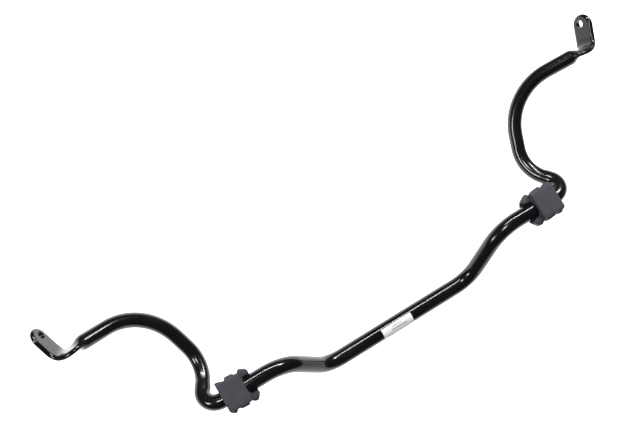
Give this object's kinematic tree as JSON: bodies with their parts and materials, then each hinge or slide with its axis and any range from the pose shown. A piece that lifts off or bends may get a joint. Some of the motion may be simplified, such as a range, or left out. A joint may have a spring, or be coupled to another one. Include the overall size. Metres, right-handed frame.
{
  "type": "sway bar",
  "caption": "Tubular automotive sway bar with a dropped centre section, hooked arms, flattened ends with link holes and slit rubber bushings on its journals.",
  "frame": {"origin": "on the bushing axis, midway between the two bushings, where the vehicle's brackets hold the bar", "axes": "+X across the vehicle along the bushing axis, +Y from the centre section towards the arms' ends, +Z square to the flat seats of the bushings, away from the round sides"},
  "size_m": [1.0016, 0.285, 0.1713],
  "materials": {
    "bar_coating": "gloss black powder coat",
    "bushing_rubber": "matte moulded",
    "label_film": "satin printed film"
  },
  "bodies": {
    "bar": {"bar": "bar_coating", "label": "label_film"},
    "left_bushing": {"left_bushing": "bushing_rubber"},
    "right_bushing": {"right_bushing": "bushing_rubber"}
  },
  "joints": [
    {"name": "left_bushing_turn", "type": "hinge", "parent": "bar", "child": "left_bushing", "pos_m": [-0.283, 0, 0], "axis": [1, 0, 0], "range_deg": [-25, 25]},
    {"name": "right_bushing_turn", "type": "hinge", "parent": "bar", "child": "right_bushing", "pos_m": [0.283, 0, 0], "axis": [1, 0, 0], "range_deg": [-25, 25]}
  ]
}
